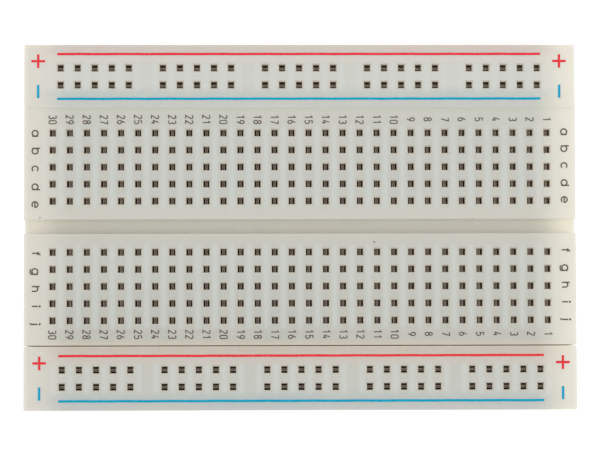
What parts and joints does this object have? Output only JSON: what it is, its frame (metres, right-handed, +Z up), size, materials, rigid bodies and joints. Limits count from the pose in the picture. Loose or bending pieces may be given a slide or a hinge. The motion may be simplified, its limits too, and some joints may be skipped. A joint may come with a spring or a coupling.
{
  "type": "solderless breadboard",
  "caption": "Half-size solderless breadboard: a terminal strip with a centre channel, lift-off bus strips, spring contact clips, foam tape and a release liner.",
  "frame": {"origin": "centre of the resting face, on the underside of the release liner, level with the middle of the centre channel", "axes": "+X along the columns from number 30 to number 1, +Y across the rows from j to a, +Z up out of the contact holes"},
  "size_m": [0.0822, 0.0545, 0.0095],
  "materials": {
    "ivory_plastic": "ivory ABS moulding, fine satin, slightly translucent",
    "clip_metal": null,
    "foam": "closed-cell foam tape, matt",
    "liner_paper": "silicone-coated release paper, pale"
  },
  "bodies": {
    "terminal": {"terminal_strip": "ivory_plastic", "terminal_foam_tape": "foam", "column_01_clips": "clip_metal", "column_02_clips": "clip_metal", "column_03_clips": "clip_metal", "column_04_clips": "clip_metal", "column_05_clips": "clip_metal", "column_06_clips": "clip_metal", "column_07_clips": "clip_metal", "column_08_clips": "clip_metal", "column_09_clips": "clip_metal", "column_10_clips": "clip_metal", "column_11_clips": "clip_metal", "column_12_clips": "clip_metal", "column_13_clips": "clip_metal", "column_14_clips": "clip_metal", "column_15_clips": "clip_metal", "column_16_clips": "clip_metal", "column_17_clips": "clip_metal", "column_18_clips": "clip_metal", "column_19_clips": "clip_metal", "column_20_clips": "clip_metal", "column_21_clips": "clip_metal", "column_22_clips": "clip_metal", "column_23_clips": "clip_metal", "column_24_clips": "clip_metal", "column_25_clips": "clip_metal", "column_26_clips": "clip_metal", "column_27_clips": "clip_metal", "column_28_clips": "clip_metal", "column_29_clips": "clip_metal", "column_30_clips": "clip_metal"},
    "upper_bus": {"upper_bus_strip": "ivory_plastic", "upper_bus_positive_clip": "clip_metal", "upper_bus_negative_clip": "clip_metal", "upper_bus_foam_tape": "foam"},
    "lower_bus": {"lower_bus_strip": "ivory_plastic", "lower_bus_positive_clip": "clip_metal", "lower_bus_negative_clip": "clip_metal", "lower_bus_foam_tape": "foam"},
    "liner": {"release_liner": "liner_paper"}
  },
  "joints": [
    {"name": "upper_bus_lift", "type": "slide", "parent": "terminal", "child": "upper_bus", "axis": [0, 0, 1], "range_m": [0, 0.015]},
    {"name": "lower_bus_lift", "type": "slide", "parent": "terminal", "child": "lower_bus", "axis": [0, 0, 1], "range_m": [0, 0.015]},
    {"name": "liner_peel", "type": "slide", "parent": "liner", "child": "terminal", "axis": [0, 0, 1], "range_m": [0, 0.02]}
  ]
}
